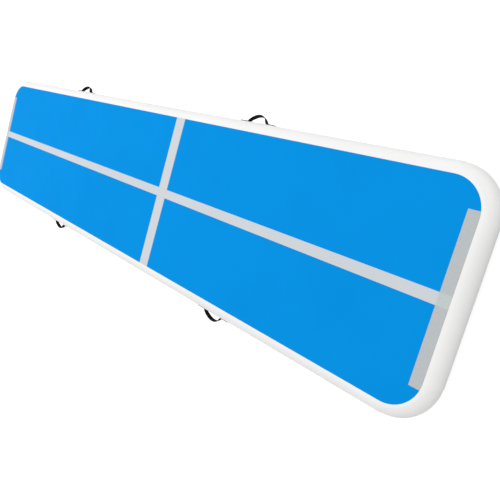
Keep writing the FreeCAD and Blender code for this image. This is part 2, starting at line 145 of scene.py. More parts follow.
# ---- Carry handles ---------------------------------------------------------------------------
HANDLES = ("left_front", "left_rear", "right_front", "right_rear")
PATCH_SKIN = 1.2 * MM
PATCH_CORNER = 14 * MM
PATCH_STEP_X = 2.5 * MM
PATCH_STEP_UP = 1.6 * MM
PATCH_EDGE = 1.2 * MM
PATCH_ROUND = 0.8 * MM
PATCH_SINK = 0.5 * MM
PATCH_WELD = 6 * MM            # pressed band round the patch
WELD_FADE = 1.5 * MM
WELD_THICK = 0.72              # share of the patch's thickness left in the pressed band
WEBBING_WIDTH = 25 * MM
WEBBING_THICK = 2.8 * MM
WEBBING_RIBS = 9
RIB_HEIGHT = 0.11 * MM
SELVEDGE_POWER = 14            # how square the webbing's edges are
WEBBING_STEP = 0.45 * MM
WEBBING_EDGE = 0.8 * MM
HANDLE_SPAN = 150 * MM
HANDLE_REACH = 40 * MM
HANDLE_ANGLE = math.radians(45)
ROOT_BEND = 18 * MM
HANDLE_TAB = 45 * MM
TAB_ROWS = 24
BEND_ROWS = 14
LEG_ROWS = 14
CROWN_ROWS = 24
UNWRAP_ZONE = 10 * MM          # over this reach the webbing leaves the wall's curve and goes flat
SWING_ZONE = 28 * MM           # over this reach the webbing twists to the loop's resting tilt
THREAD_RADIUS = 0.38 * MM
THREAD_LIFT = 0.1 * MM
THREAD_SIDES = 6
THREAD_RINGS = (0.0, 0.18, 0.5, 0.82, 1.0)
THREAD_SINK = 0.8              # radii that a stitch is sunk, less its own plumpness
THREAD_BLUNT = 0.12            # share of a half turn that is cut off each end of its sine outline
STITCH = 3.0 * MM
STITCH_GAP = 0.9 * MM
STITCH_BOX = (11 * MM, 33 * MM, 8.5 * MM)           # near end, far end, half width
TACK_INSETS = (6 * MM, 38 * MM)
TACK_HALF = 10.2 * MM
TACK_LENGTH = 3.4 * MM
TACK_THREADS = 24
TACK_LEAN = 0.3 * MM

# ---- Valve spring ----------------------------------------------------------------------------
SPRING_WIRE = 0.5 * MM         # radius of the wire
SPRING_TURNS = 5               # the first and last lie closed against their neighbours
SPRING_STEPS = 40              # rings of points in each turn
SPRING_SIDES = 10


# ---- Colours ---------------------------------------------------------------------------------
def rgb(red, green, blue):
    return (red, green, blue, 1.0)


def shade(colour, factor):
    return rgb(*[min(c * factor, 1.0) for c in colour[:3]])


DECK_BLUE = rgb(0.0026, 0.293, 0.790)
GRIP_GREY = rgb(0.34, 0.36, 0.38)
WALL_WHITE = rgb(0.93, 0.925, 0.92)
STRIPE_GREY = rgb(0.64, 0.675, 0.71)
TAPE_GREY = rgb(0.53, 0.56, 0.58)
TAPE_OVER_STRIPE = rgb(0.575, 0.64, 0.63)
BLACK = rgb(0.005, 0.005, 0.0055)
VALVE_GREY = rgb(0.36, 0.37, 0.39)
STEEL_DARK = rgb(0.45, 0.45, 0.46)
STEEL_LIGHT = rgb(0.62, 0.62, 0.63)
# painted shade and painted highlight of the pale yarn, for the grooves between its strands and for their
# tops
YARN_SHADED = rgb(0.66, 0.66, 0.62)
YARN_LIT = rgb(0.86, 0.86, 0.82)
FLOOR_DARK = rgb(0.89, 0.89, 0.89)
FLOOR_LIGHT = rgb(0.91, 0.91, 0.91)
WHITE_LIGHT = rgb(1, 1, 1)


# ---- Small maths -----------------------------------------------------------------------------
def smooth(value):
    """0 below 0, 1 above 1, an even S between them."""
    t = min(max(value, 0.0), 1.0)
    return t * t * (3 - 2 * t)


def rounding(distance, radius):
    """Share of full height that a rounded edge has, at a distance from that edge."""
    t = min(max(distance / radius, 0.0), 1.0)
    return math.sqrt(1 - (1 - t) ** 2)


def soft_noise(point, size):
    """Smooth noise from -1 to 1 whose features are about this size."""
    return noise.noise(Vector(point) / size)


def spread(low, high, count):
    return [low + (high - low) * i / (count - 1) for i in range(count)]


def edged(low, high, step, edge):
    """Positions from low to high, a step apart, with extra ones inside both edges."""
    count = max(2, round((high - low - 2 * edge) / step) + 1)
    near = [edge * share for share in EDGE_SHARES]
    inner = spread(low + edge, high - edge, count)
    return [low + d for d in near] + inner + [high - d for d in reversed(near)]


# ---- Mesh helpers ----------------------------------------------------------------------------
def new_piece(name, vertices, faces, material, uvs=None):
    """A smooth-shaded mesh object with outward normals, and one UV pair for each vertex if given."""
    mesh = bpy.data.meshes.new(name)
    mesh.from_pydata(vertices, [], faces)
    work = bmesh.new()
    work.from_mesh(mesh)
    bmesh.ops.recalc_face_normals(work, faces=work.faces)
    work.to_mesh(mesh)
    work.free()
    if uvs:
        layer = mesh.uv_layers.new(name="along_across")
        for loop in mesh.loops:
            layer.data[loop.index].uv = uvs[loop.vertex_index]
    mesh.shade_smooth()
    mesh.set_sharp_from_angle(angle=math.radians(SHARP_DEGREES))
    mesh.materials.append(material)
    piece = bpy.data.objects.new(name, mesh)
    bpy.context.scene.collection.objects.link(piece)
    return piece


def shell(name, outer, inner, material, uvs):
    """A closed skin between two grids of points that have the same rows and columns."""
    rows, columns = len(outer), len(outer[0])
    offset = rows * columns

    def quad(i, j, side):
        a = side * offset + i * columns + j
        return (a, a + columns, a + columns + 1, a + 1)

    faces = [quad(i, j, side) for side in (0, 1) for i in range(rows - 1) for j in range(columns - 1)]
    for j in range(columns - 1):
        for a in (j, (rows - 1) * columns + j):
            faces.append((a, a + 1, a + 1 + offset, a + offset))
    for i in range(rows - 1):
        for a in (i * columns, i * columns + columns - 1):
            faces.append((a, a + columns, a + columns + offset, a + offset))
    vertices = [point for grid in (outer, inner) for row in grid for point in row]
    pairs = [uv for row in uvs for uv in row] * 2
    return new_piece(name, vertices, faces, material, pairs)


def tube_faces(rings, sides):
    """Faces of a closed tube whose vertices come ring by ring."""
    faces = []
    for i in range(rings - 1):
        for k in range(sides):
            a = i * sides + k
            b = i * sides + (k + 1) % sides
            faces.append((a, b, b + sides, a + sides))
    faces.append(tuple(range(sides)))
    faces.append(tuple(range((rings - 1) * sides, rings * sides)))
    return faces


def stand_for(piece, slot, *nodes):
    """Hides the CAD nodes that a piece stands for. The slot is not used."""
    if nodes:
        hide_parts(*nodes)


def place(piece, body, slot, *nodes):
    """Rides a piece on its body, and hides the CAD nodes that it stands for."""
    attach(piece, body)
    stand_for(piece, slot, *nodes)


# ---- Material helpers ------------------------------------------------------------------------
class Look:
    """A node material whose colour, roughness and bump are built up in small steps."""

    MIX_SHARE, MIX_FIRST, MIX_SECOND = 0, 6, 7      # the Mix node's colour inputs
    MIX_RESULT = 2

    def __init__(self, name, settings, coordinates="Object"):
        self.material = bpy.data.materials.new(name)
        self.material.use_nodes = True
        self.tree = self.material.node_tree
        self.shader = self.tree.nodes["Principled BSDF"]
        for socket, value in settings.items():
            self.shader.inputs[socket].default_value = value
        self.where = self.node("ShaderNodeTexCoord").outputs[coordinates]
        self.split = None
        self.normal = None

    def node(self, kind, inputs=None, **settings):
        """A new node; an input given as a socket is linked, and as a value is set."""
        made = self.tree.nodes.new(kind)
        for setting, value in settings.items():
            setattr(made, setting, value)
        for socket, value in (inputs or {}).items():
            if isinstance(value, bpy.types.NodeSocket):
                self.tree.links.new(value, made.inputs[socket])
            else:
                made.inputs[socket].default_value = value
        return made

    def calc(self, operation, *values):
        return self.node("ShaderNodeMath", dict(enumerate(values)), operation=operation).outputs[0]

    def noise(self, size, detail=2.0):
        """Noise from 0 to 1 with features of this size in metres."""
        inputs = {"Vector": self.where, "Scale": 1 / size, "Detail": detail}
        return self.node("ShaderNodeTexNoise", inputs).outputs["Fac"]

    def cells(self, size):
        """Distance to the nearest edge between cells of this size, as in leather grain."""
        inputs = {"Vector": self.where, "Scale": 1 / size}
        return self.node("ShaderNodeTexVoronoi", inputs, feature="DISTANCE_TO_EDGE").outputs["Distance"]

    def axis(self, name):
        if self.split is None:
            self.split = self.node("ShaderNodeSeparateXYZ", {"Vector": self.where})
        return self.split.outputs[name]

    def ridges(self, value, pitch):
        """Rounded ridges from 0 to 1 along a coordinate, one each pitch."""
        phase = self.calc("MULTIPLY", value, 2 * math.pi / pitch)
        return self.calc("MULTIPLY_ADD", self.calc("SINE", phase), 0.5, 0.5)

    def remap(self, value, low, high, to_low=0.0, to_high=1.0):
        inputs = {"Value": value, "From Min": low, "From Max": high, "To Min": to_low, "To Max": to_high}
        return self.node("ShaderNodeMapRange", inputs).outputs["Result"]

    def mix(self, share, first, second):
        """The first colour where share is 0, the second where it is 1."""
        inputs = {self.MIX_SHARE: share, self.MIX_FIRST: first, self.MIX_SECOND: second}
        return self.node("ShaderNodeMix", inputs, data_type="RGBA").outputs[self.MIX_RESULT]

    def scaled(self, colour, factor):
        inputs = {0: colour, 1: (factor, factor, factor)}
        return self.node("ShaderNodeVectorMath", inputs, operation="MULTIPLY").outputs[0]

    def colour(self, socket):
        self.tree.links.new(socket, self.shader.inputs["Base Color"])

    def roughness(self, low, high, size):
        """Roughness that varies between two values, in patches of this size."""
        varied = self.remap(self.noise(size, detail=4.0), 0.3, 0.7, low, high)
        self.tree.links.new(varied, self.shader.inputs["Roughness"])

    def bump(self, height, depth):
        """Adds a bump of this depth in metres for heights from 0 to 1."""
        inputs = {"Height": height, "Distance": depth}
        if self.normal:
            inputs["Normal"] = self.normal
        self.normal = self.node("ShaderNodeBump", inputs).outputs["Normal"]
        self.tree.links.new(self.normal, self.shader.inputs["Normal"])


# ---- Materials -------------------------------------------------------------------------------
WEAVE_PITCH = 1.1 * MM


def coated_fabric(name, colour, gloss, grain, dimple, coordinates="Object"):
    """PVC-coated cloth: faint mottling, a fine leather grain and the weave showing through."""
    look = Look(name, {"Specular IOR Level": gloss}, coordinates)
    mottle = look.remap(look.noise(size=0.35, detail=3.0), low=0.3, high=0.7)
    look.colour(look.mix(mottle, shade(colour, 0.975), shade(colour, 1.02)))
    look.roughness(low=0.42, high=0.56, size=0.08)
    warp = look.ridges(look.axis("X"), WEAVE_PITCH)
    weft = look.ridges(look.axis("Y"), WEAVE_PITCH)
    look.bump(look.calc("MULTIPLY", warp, weft), depth=0.012 * MM)
    look.bump(look.cells(grain), dimple)
    look.bump(look.noise(0.5 * grain), 0.4 * dimple)
    return look.material


def deck_material():
    return coated_fabric("blue_coated_fabric", DECK_BLUE, gloss=0.003, grain=1.6 * MM, dimple=0.03 * MM)


def wall_material(coordinates):
    name = "white_coated_fabric_" + coordinates.lower()
    return coated_fabric(name, WALL_WHITE, gloss=0.3, grain=1.4 * MM, dimple=0.02 * MM,
                         coordinates=coordinates)


def stripe_material():
    return coated_fabric("pale_stripe_fabric", STRIPE_GREY, gloss=0.2, grain=1.6 * MM, dimple=0.02 * MM)


def grip_material():
    """Underside: the same cloth with a coarse non-slip grain."""
    look = Look("grey_grip_fabric", {"Specular IOR Level": 0.25})
    mottle = look.remap(look.noise(size=0.2, detail=3.0), low=0.3, high=0.7)
    look.colour(look.mix(mottle, shade(GRIP_GREY, 0.94), shade(GRIP_GREY, 1.05)))
    look.roughness(low=0.6, high=0.8, size=0.05)
    look.bump(look.cells(4 * MM), depth=0.25 * MM)
    look.bump(look.noise(1.0 * MM), depth=0.05 * MM)
    return look.material


def tape_material(stripe_half):
    """Brushed loop pile, paler where the stripe under it shows through."""
    look = Look("grey_loop_pile", {"Specular IOR Level": 0.1, "Roughness": 0.92,
                                   "Sheen Weight": 0.25, "Sheen Roughness": 0.6})
    soft_edge = 1.5 * MM
    away = look.calc("ABSOLUTE", look.axis("Y"))
    over = look.remap(away, stripe_half - soft_edge, stripe_half + soft_edge, 1.0, 0.0)
    base = look.mix(over, TAPE_GREY, TAPE_OVER_STRIPE)
    clumps = look.remap(look.noise(9 * MM, detail=4.0), low=0.25, high=0.75)
    fibres = look.remap(look.noise(0.7 * MM, detail=3.0), low=0.25, high=0.75)
    dark = look.scaled(base, 0.90)
    light = look.scaled(base, 1.08)
    share = look.calc("MULTIPLY_ADD", clumps, 0.4, look.calc("MULTIPLY", fibres, 0.6))
    look.colour(look.mix(share, dark, light))
    look.bump(clumps, depth=0.25 * MM)
    look.bump(fibres, depth=0.35 * MM)
    return look.material


def webbing_material():
    """Woven strap: chevrons of yarn across its ribs. U runs along it and V across."""
    look = Look("black_webbing", {"Specular IOR Level": 0.12}, "UV")
    rib = WEBBING_WIDTH / WEBBING_RIBS
    fold = look.calc("PINGPONG", look.axis("Y"), rib)
    slanted = look.calc("MULTIPLY_ADD", fold, 0.8, look.axis("X"))
    yarn_ridges_and_shade = look.ridges(slanted, pitch=1.3 * MM)
    fuzz = look.noise(0.4 * MM, detail=3.0)
    # the strap's colour is painted darker in the grooves between the yarns and lighter on their tops:
    # painted shade and painted highlight
    look.colour(look.mix(yarn_ridges_and_shade, shade(BLACK, 0.5), shade(BLACK, 1.9)))
    look.roughness(low=0.62, high=0.85, size=0.02)
    look.bump(yarn_ridges_and_shade, depth=0.14 * MM)
    look.bump(fuzz, depth=0.04 * MM)
    return look.material


def thread_material():
    look = Look("black_thread", {"Specular IOR Level": 0.45, "Roughness": 0.5})
    twist = look.calc("ADD", look.axis("X"), look.axis("Z"))
    strand_ridges_and_shade = look.ridges(twist, pitch=0.5 * MM)
    # the thread's colour is painted darker in the grooves between the strands and lighter on their tops:
    # painted shade and painted highlight
    look.colour(look.mix(strand_ridges_and_shade, shade(BLACK, 0.9), shade(BLACK, 2.6)))
    look.bump(strand_ridges_and_shade, depth=0.04 * MM)
    return look.material


def plastic_material(name, colour, roughness):
    """Moulded plastic with a fine matt tool texture and faint scuffs."""
    look = Look(name, {"Specular IOR Level": 0.5})
    scuffs = look.remap(look.noise(6 * MM, detail=5.0), low=0.45, high=0.7)
    look.colour(look.mix(scuffs, colour, shade(colour, 1.12)))
    look.roughness(roughness, roughness + 0.14, size=4 * MM)
    look.bump(look.noise(0.3 * MM), depth=0.02 * MM)
    return look.material


def rubber_material():
    look = Look("black_rubber", {"Specular IOR Level": 0.35})
    bloom = look.remap(look.noise(5 * MM, detail=4.0), low=0.4, high=0.8)
    look.colour(look.mix(bloom, BLACK, shade(BLACK, 2.4)))
    look.roughness(low=0.65, high=0.85, size=3 * MM)
    look.bump(look.noise(0.4 * MM), depth=0.03 * MM)
    return look.material


def steel_material():
    look = Look("spring_steel", {"Metallic": 1.0})
    drawn = look.noise(0.15 * MM)
    look.colour(look.mix(drawn, STEEL_DARK, STEEL_LIGHT))
    look.roughness(low=0.22, high=0.36, size=1 * MM)
    look.bump(drawn, depth=0.005 * MM)
    return look.material


def yarn_material():
    look = Look("polyester_yarn", {"Specular IOR Level": 0.2, "Sheen Weight": 0.3})
    twist = look.calc("ADD", look.axis("X"), look.axis("Z"))
    strand_ridges_and_shade = look.ridges(twist, pitch=0.6 * MM)
    # the yarn's colour is painted darker in the grooves between the strands and lighter on their tops:
    # painted shade and painted highlight
    look.colour(look.mix(strand_ridges_and_shade, YARN_SHADED, YARN_LIT))
    look.roughness(low=0.7, high=0.85, size=1 * MM)
    look.bump(strand_ridges_and_shade, depth=0.1 * MM)
    return look.material


# ---- The rounded walls -----------------------------------------------------------------------
def wall_profile():
    """(out, up, normal out, normal up) from the top lip's edge, round the bulge, to the bottom lip's."""
    points = []
    for share in LIP_STEPS:
        rise = LIP_RISE * rounding(share * LIP, LIP_ROUND)
        points.append((-LIP * (1 - share), THICKNESS + rise, 0.0, 1.0))
    for degrees in range(90, -91, -BULGE_STEP):
        turn = math.radians(degrees)
        radius = BULGE + LIP_RISE * smooth((degrees - LIP_BLEND_FROM) / LIP_BLEND_OVER)
        out, up = math.cos(turn), math.sin(turn)
        points.append((radius * out, MID_Z + radius * up, out, up))
    points.append((0.0, 0.0, 0.0, -1.0))
    points += [(-LIP * (1 - share), 0.0, 0.0, -1.0) for share in reversed(LIP_STEPS)]
    return points


def corner_reach(outwards):
    """Share of its bulge that a wall keeps where it faces this way: all of it on the straights.

    The photograph's silhouette turns the corners on a larger radius than the full bulge would.
    """
    return 1 - CORNER_EASE / BULGE * (abs(outwards.x) + abs(outwards.y) - 1)


def wall_skin(name, path, swell_of, material):
    """A wall swept along path: (centre, direction outwards, distance along, extra thickness) at each row."""
    profile = wall_profile()
    around = [0.0]
    for a, b in zip(profile, profile[1:]):
        around.append(around[-1] + math.hypot(b[0] - a[0], b[1] - a[1]))
    outer, inner, uvs = [], [], []
    for centre, outwards, along, extra in path:
        reach = corner_reach(outwards)
        outer_row, inner_row = [], []
        for out, up, normal_out, normal_up in profile:
            swell = swell_of(centre, along, normal_out, normal_up) + extra * (normal_up > FLOOR_FACING)
            base = centre + outwards * (out * reach if out > 0 else out) + Vector((0, 0, up))
            normal = outwards * normal_out + Vector((0, 0, normal_up))
            outer_row.append(base + normal * swell)
            inner_row.append(base + normal * (swell * INNER_SWELL - SKIN))
        outer.append(outer_row)
        inner.append(inner_row)
        uvs.append([(along, v) for v in around])
    return shell(name, outer, inner, material, uvs)


def swell_of_wall(centre, along, normal_out, normal_up):
    """Slow unevenness of the blown-up wall, none where it meets the floor or the deck.

    Along isn't needed here, but every wall's swell is asked for in the same way.
    """
    window = smooth(normal_out * SWELL_FADE)
    return WALL_SWELL * window * soft_noise((centre.x, centre.y, normal_up * BULGE * 2), SWELL_SIZE)


def swell_of_corner(centre, along, normal_out, normal_up):
    """The wall's unevenness, and the radial puckers that its tighter turn gathers near the lips."""
    corner = max(abs(centre.x) - STRAIGHT_X, 0.0) * max(abs(centre.y) - STRAIGHT_Y, 0.0)
    in_corner = smooth(corner / (PUCKER_CORNER * CORNER_RADIUS ** 2))
    near_lip = smooth((abs(normal_up) - PUCKER_FROM) / PUCKER_OVER) * smooth(normal_out * PUCKER_FADE)
    drift = soft_noise((along, normal_up * PUCKER_DRIFT_RISE, PUCKER_SEED), PUCKER_DRIFT_SIZE)
    wave = math.sin(2 * math.pi * along / PUCKER_PITCH + PUCKER_DRIFT * drift)
    pucker = PUCKER_DEPTH * in_corner * near_lip * (wave * 0.5 - 0.5)
    return pucker + swell_of_wall(centre, along, normal_out, normal_up)


def side_path(side):
    rows = round(2 * STRAIGHT_X / SIDE_STEP) + 1
    return [(Vector((x, side * TUBE_Y, 0)), Vector((0, side, 0)), x, 0.0)
            for x in spread(-STRAIGHT_X, STRAIGHT_X, rows)]


def end_path(end):
    """Round one end, from the lap on the right side wall to the lap on the left."""
    arc = CORNER_RADIUS * math.pi / 2
    half = STRAIGHT_Y + arc
    path = []
    for d in spread(SEAM_LAP, 0, SEAM_ROWS)[:-1]:
        centre = Vector((end * (STRAIGHT_X - d), -TUBE_Y, 0))
        path.append((centre, Vector((0, -1, 0)), -half - d, SEAM_RISE))
    for i in range(CORNER_STEPS):
        turn = math.pi / 2 * i / CORNER_STEPS
        outwards = Vector((end * math.sin(turn), -math.cos(turn), 0))
        centre = Vector((end * STRAIGHT_X, -STRAIGHT_Y, 0)) + outwards * CORNER_RADIUS
        rise = SEAM_RISE * smooth(1 - i / SEAM_FADE_ROWS)
        path.append((centre, outwards, -half + arc * i / CORNER_STEPS, rise))
    for y in spread(-STRAIGHT_Y, 0, END_STEPS // 2):
        path.append((Vector((end * TUBE_X, y, 0)), Vector((end, 0, 0)), y, 0.0))
    flip = Vector((1, -1, 1))
    mirrored = [(centre * flip, outwards * flip, -along, extra)
                for centre, outwards, along, extra in reversed(path[:-1])]
    return path + mirrored


def cut_valve_hole(wall):
    """Opens the rear wall round the valve's barrel."""
    bpy.ops.mesh.primitive_cylinder_add(vertices=VALVE_HOLE_SIDES, radius=VALVE_HOLE, depth=2 * BULGE,
                                        location=(VALVE_X, 0, MID_Z), rotation=(0, math.pi / 2, 0))
    cutter = bpy.context.object
    modifier = wall.modifiers.new("valve_hole", "BOOLEAN")
    modifier.object = cutter
    modifier.solver = "EXACT"
    bpy.context.view_layer.update()
    cut = bpy.data.meshes.new_from_object(wall.evaluated_get(bpy.context.evaluated_depsgraph_get()))
    wall.modifiers.clear()
    wall.data = cut
    bpy.data.objects.remove(cutter)


def make_walls():
    material = wall_material("UV")
    for name, side in (("left_side_wall", 1), ("right_side_wall", -1)):
        wall = wall_skin(name + "_skin", side_path(side), swell_of_wall, material)
        place(wall, "mat", "white_wall_fabric", name)
    for name, end in (("front_end_wall", 1), ("rear_end_wall", -1)):
        wall = wall_skin(name + "_skin", end_path(end), swell_of_corner, material)
        if end < 0:
            cut_valve_hole(wall)
        place(wall, "mat", "white_wall_fabric", name)


# ---- Decks -----------------------------------------------------------------------------------
def half_width_at(x, radius):
    """Half the width of a rounded plan at x, for a corner radius about the corners' centres."""
    beyond = max(abs(x) - STRAIGHT_X, 0.0)
    return STRAIGHT_Y + math.sqrt(max(radius ** 2 - beyond ** 2, 0.0))


def deck_rows(radius):
    """Places along X for a deck's rows, closer together round the corners."""
    straight = spread(-STRAIGHT_X, STRAIGHT_X, round(2 * STRAIGHT_X / DECK_STEP_X) + 1)
    corner = [STRAIGHT_X + radius * math.sin(math.pi / 2 * i / DECK_CORNER_ROWS)
              for i in range(1, DECK_CORNER_ROWS + 1)]
    return [-x for x in reversed(corner)] + straight + corner


def deck_sag(x, y, radius):
    """How far the deck lies under its flat plane, fading out at the walls."""
    to_side = half_width_at(x, radius) - abs(y)
    to_end = STRAIGHT_X + radius - abs(x)
    fade = smooth(min(to_side, to_end) / SAG_FADE)
    slow = 0.5 + 0.5 * soft_noise((x, y, 0), SAG_SIZE)
    rows = 0.5 + 0.5 * math.sin(2 * math.pi * y / SAG_ROW_PITCH)
    return DECK_SAG * fade * ((1 - SAG_ROW_SHARE) * slow + SAG_ROW_SHARE * rows)


def deck_skin(name, face_z, side, material):
    """A deck with its outer face at face_z; side is +1 for the top and -1 for the underside."""
    radius = CORNER_RADIUS - LIP + UNDERLAP
    outer, inner, uvs = [], [], []
    for x in deck_rows(radius):
        half = half_width_at(x, radius)
        ys = spread(-half, half, DECK_COLUMNS)
        heights = [face_z - side * deck_sag(x, y, radius) for y in ys]
        outer.append([Vector((x, y, z)) for y, z in zip(ys, heights)])
        inner.append([Vector((x, y, z - side * SKIN)) for y, z in zip(ys, heights)])
        uvs.append([(x, y) for y in ys])
    return shell(name, outer, inner, material, uvs)


def make_decks():
    top = deck_skin("top_deck_skin", THICKNESS, 1, deck_material())
    place(top, "mat", "blue_deck_fabric", "top_deck")
    bottom = deck_skin("bottom_deck_skin", 0.0, -1, grip_material())
    place(bottom, "mat", "grey_grip_fabric", "bottom_deck")


# ---- Stripes and tapes -----------------------------------------------------------------------
def flat_strip(name, low, high, steps, material):
    """A thin strip on the deck between two corners, with rounded edges."""
    step_x, step_y = steps
    width = high.y - low.y
    shares = [p / width for p in edged(0.0, width, step_y, 2 * STRIPE_ROUND)]
    ys = [low.y + width * share for share in shares]
    outer, inner, uvs = [], [], []
    for x in edged(low.x, high.x, step_x, 2 * STRIPE_ROUND):
        end = rounding(min(x - low.x, high.x - x), STRIPE_ROUND)
        row = []
        for y in ys:
            height = (high.z - THICKNESS) * rounding(min(y - low.y, high.y - y), STRIPE_ROUND)
            row.append(Vector((x, y, THICKNESS + height * end)))
        outer.append(row)
        inner.append([Vector((x, y, THICKNESS - STRIPE_SINK)) for y in ys])
        uvs.append([(x, y) for y in ys])
    return shell(name, outer, inner, material, uvs)


def make_stripes():
    """The centre stripe, and the cross stripe in two parts, one each side of it."""
    material = stripe_material()
    low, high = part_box("centre_stripe")
    centre = flat_strip("centre_stripe_strip", low, high, CENTRE_STRIPE_STEPS, material)
    place(centre, "mat", "pale_stripe", "centre_stripe")
    centre_edge = high.y
    low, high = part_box("cross_stripe")
    left = flat_strip("cross_stripe_left", Vector((low.x, centre_edge, low.z)), high,
                      CROSS_STRIPE_STEPS, material)
    place(left, "mat", "pale_stripe", "cross_stripe")
    right = flat_strip("cross_stripe_right", low, Vector((high.x, -centre_edge, high.z)),
                       CROSS_STRIPE_STEPS, material)
    place(right, "mat", "pale_stripe")


def pile(x, y, to_edge):
    """Uneven loops of the brushed pile, none on the flat selvedge."""
    grown = smooth((to_edge - SELVEDGE) / SELVEDGE)
    lumps = sum(0.5 * soft_noise((x, y, seed), size) for size, seed in PILE_LUMPS)
    return grown * (PILE_HEIGHT + PILE_UNEVEN * lumps)


def loop_tape(name, end, node, material):
    """One end's tape, whose far edge follows the deck's rounded corners."""
    low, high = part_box(node)
    near = end * min(abs(low.x), abs(high.x))
    radius = CORNER_RADIUS - LIP
    thick = high.z - THICKNESS
    width = high.x - low.x
    shares = [p / width for p in edged(0.0, width, TAPE_STEP, TAPE_EDGE)]
    outer, inner, uvs = [], [], []
    for y in edged(low.y, high.y, TAPE_STEP, TAPE_EDGE):
        beyond = max(abs(y) - STRAIGHT_Y, 0.0)
        far = end * (STRAIGHT_X + math.sqrt(radius ** 2 - beyond ** 2))
        outer_row, inner_row, uv_row = [], [], []
        for share in shares:
            x = near + (far - near) * share
            to_edge = min(abs(x - near), abs(far - x), y - low.y, high.y - y)
            rise = TAPE_BASE * thick * rounding(to_edge, TAPE_ROUND) + pile(x, y, to_edge)
            outer_row.append(Vector((x, y, THICKNESS + rise)))
            inner_row.append(Vector((x, y, THICKNESS - TAPE_SINK)))
            uv_row.append((x, y))
        outer.append(outer_row)
        inner.append(inner_row)
        uvs.append(uv_row)
    piece = shell(name, outer, inner, material, uvs)
    place(piece, "mat", "grey_loop_tape", node)


def make_tapes():
    material = tape_material(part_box("centre_stripe")[1].y)
    loop_tape("front_loop_tape_pile", 1, "front_loop_tape", material)
    loop_tape("rear_loop_tape_pile", -1, "rear_loop_tape", material)


# ---- Carry handles ---------------------------------------------------------------------------
def handle_line():
    """(along, away, tangent angle) down the middle of the strap, from one tab's end to the other's.

    Along runs beside the wall and is 0 at the crown; away is measured from the patch.
    """
    lie = WEBBING_THICK / 2
    leg = (HANDLE_REACH - lie) / math.tan(HANDLE_ANGLE / 2) - HANDLE_SPAN / 2
    crown = (HANDLE_SPAN / 2 - leg * math.cos(HANDLE_ANGLE)) / math.sin(HANDLE_ANGLE) - ROOT_BEND
    points = [(HANDLE_SPAN / 2 + d, lie, 0.0) for d in spread(HANDLE_TAB, 0, TAB_ROWS)]
    for turn in spread(0, HANDLE_ANGLE, BEND_ROWS)[1:]:
        along = HANDLE_SPAN / 2 - ROOT_BEND * math.sin(turn)
        points.append((along, lie + ROOT_BEND * (1 - math.cos(turn)), turn))
    start = points[-1]
    for d in spread(0, leg, LEG_ROWS)[1:]:
        along = start[0] - d * math.cos(HANDLE_ANGLE)
        points.append((along, start[1] + d * math.sin(HANDLE_ANGLE), HANDLE_ANGLE))
    for turn in spread(HANDLE_ANGLE, 0, CROWN_ROWS)[1:]:
        points.append((crown * math.sin(turn), HANDLE_REACH - crown * (1 - math.cos(turn)), turn))
    mirrored = [(-along, away, -turn) for along, away, turn in reversed(points[:-1])]
    return points + mirrored


class HandlePlace:
    """Where one handle is on its wall, and how its loop rests.

    The swing's range is even about level, so its middle tells how far from level the loop rests.
    The tilt is negative where the loop hangs below level.
    """

    def __init__(self, name):
        joint = next(j for j in frame["joints"] if j["name"] == name + "_handle_swing")
        self.name = name
        self.x = joint["pos_m"][0]
        self.side = 1 if joint["pos_m"][1] > 0 else -1
        self.wall = BULGE + PATCH_SKIN
        self.pivot = abs(joint["pos_m"][1]) - TUBE_Y - self.wall
        self.tilt = math.radians(-sum(joint["range_deg"]) / 2)

    def at(self, along, away, up):
        """The row-frame point for a place beside, away from and up the patch's middle line."""
        return Vector((self.x + along, self.side * (TUBE_Y + self.wall + away), MID_Z + up))

    def on_tab(self, along, across, lift):
        """A point on the strap where it is sewn down, wrapped round the bulge."""
        radius = self.wall + lift
        turn = across / radius
        return self.at(along, radius * math.cos(turn) - self.wall, radius * math.sin(turn))

    def on_strap(self, along, away, turn, across, lift):
        """A point on the whole strap: wrapped at the tabs, flat on the loop, tilted with the loop."""
        flat = Vector((along + math.sin(turn) * lift, away + math.cos(turn) * lift, across))
        radius = self.wall + away + lift
        bend = across / radius
        wrapped = Vector((flat.x, radius * math.cos(bend) - self.wall, radius * math.sin(bend)))
        point = wrapped.lerp(flat, smooth((away - WEBBING_THICK) / UNWRAP_ZONE))
        angle = self.tilt * smooth(point.y / SWING_ZONE)
        arm, up = point.y - self.pivot, point.z
        return self.at(point.x, self.pivot + arm * math.cos(angle) - up * math.sin(angle),
                       arm * math.sin(angle) + up * math.cos(angle))


def webbing_half_thickness(across):
    """Half the strap's thickness at a place across it: ribs, and rounded selvedges."""
    share = min(abs(across) / (WEBBING_WIDTH / 2), 1.0)
    edge = math.sqrt(max(1 - share ** SELVEDGE_POWER, 0.0))
    ribs = RIB_HEIGHT * math.cos(2 * math.pi * across / WEBBING_WIDTH * WEBBING_RIBS)
    return (WEBBING_THICK / 2 - RIB_HEIGHT) * edge + ribs * edge


def handle_strap(handle, material):
    """The loop and its sewn ends, in one length of webbing."""
    columns = edged(-WEBBING_WIDTH / 2, WEBBING_WIDTH / 2, WEBBING_STEP, WEBBING_EDGE)
    halves = [webbing_half_thickness(c) for c in columns]
    line = handle_line()
    run = 0.0
    last = line[0]
    outer, inner, uvs = [], [], []
    for along, away, turn in line:
        run += math.hypot(along - last[0], away - last[1])
        last = (along, away)
        outer.append([handle.on_strap(along, away, turn, c, h) for c, h in zip(columns, halves)])
        inner.append([handle.on_strap(along, away, turn, c, -h) for c, h in zip(columns, halves)])
        uvs.append([(run, c) for c in columns])
    strap = shell(handle.name + "_handle_strap", outer, inner, material, uvs)
    start = handle.at(0, 0, 0)
    end = handle.at(0, SWING_ZONE, 0)
    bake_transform(strap)
    stand_for(strap, "black_webbing", handle.name + "_handle_loop", handle.name + "_handle_ends")


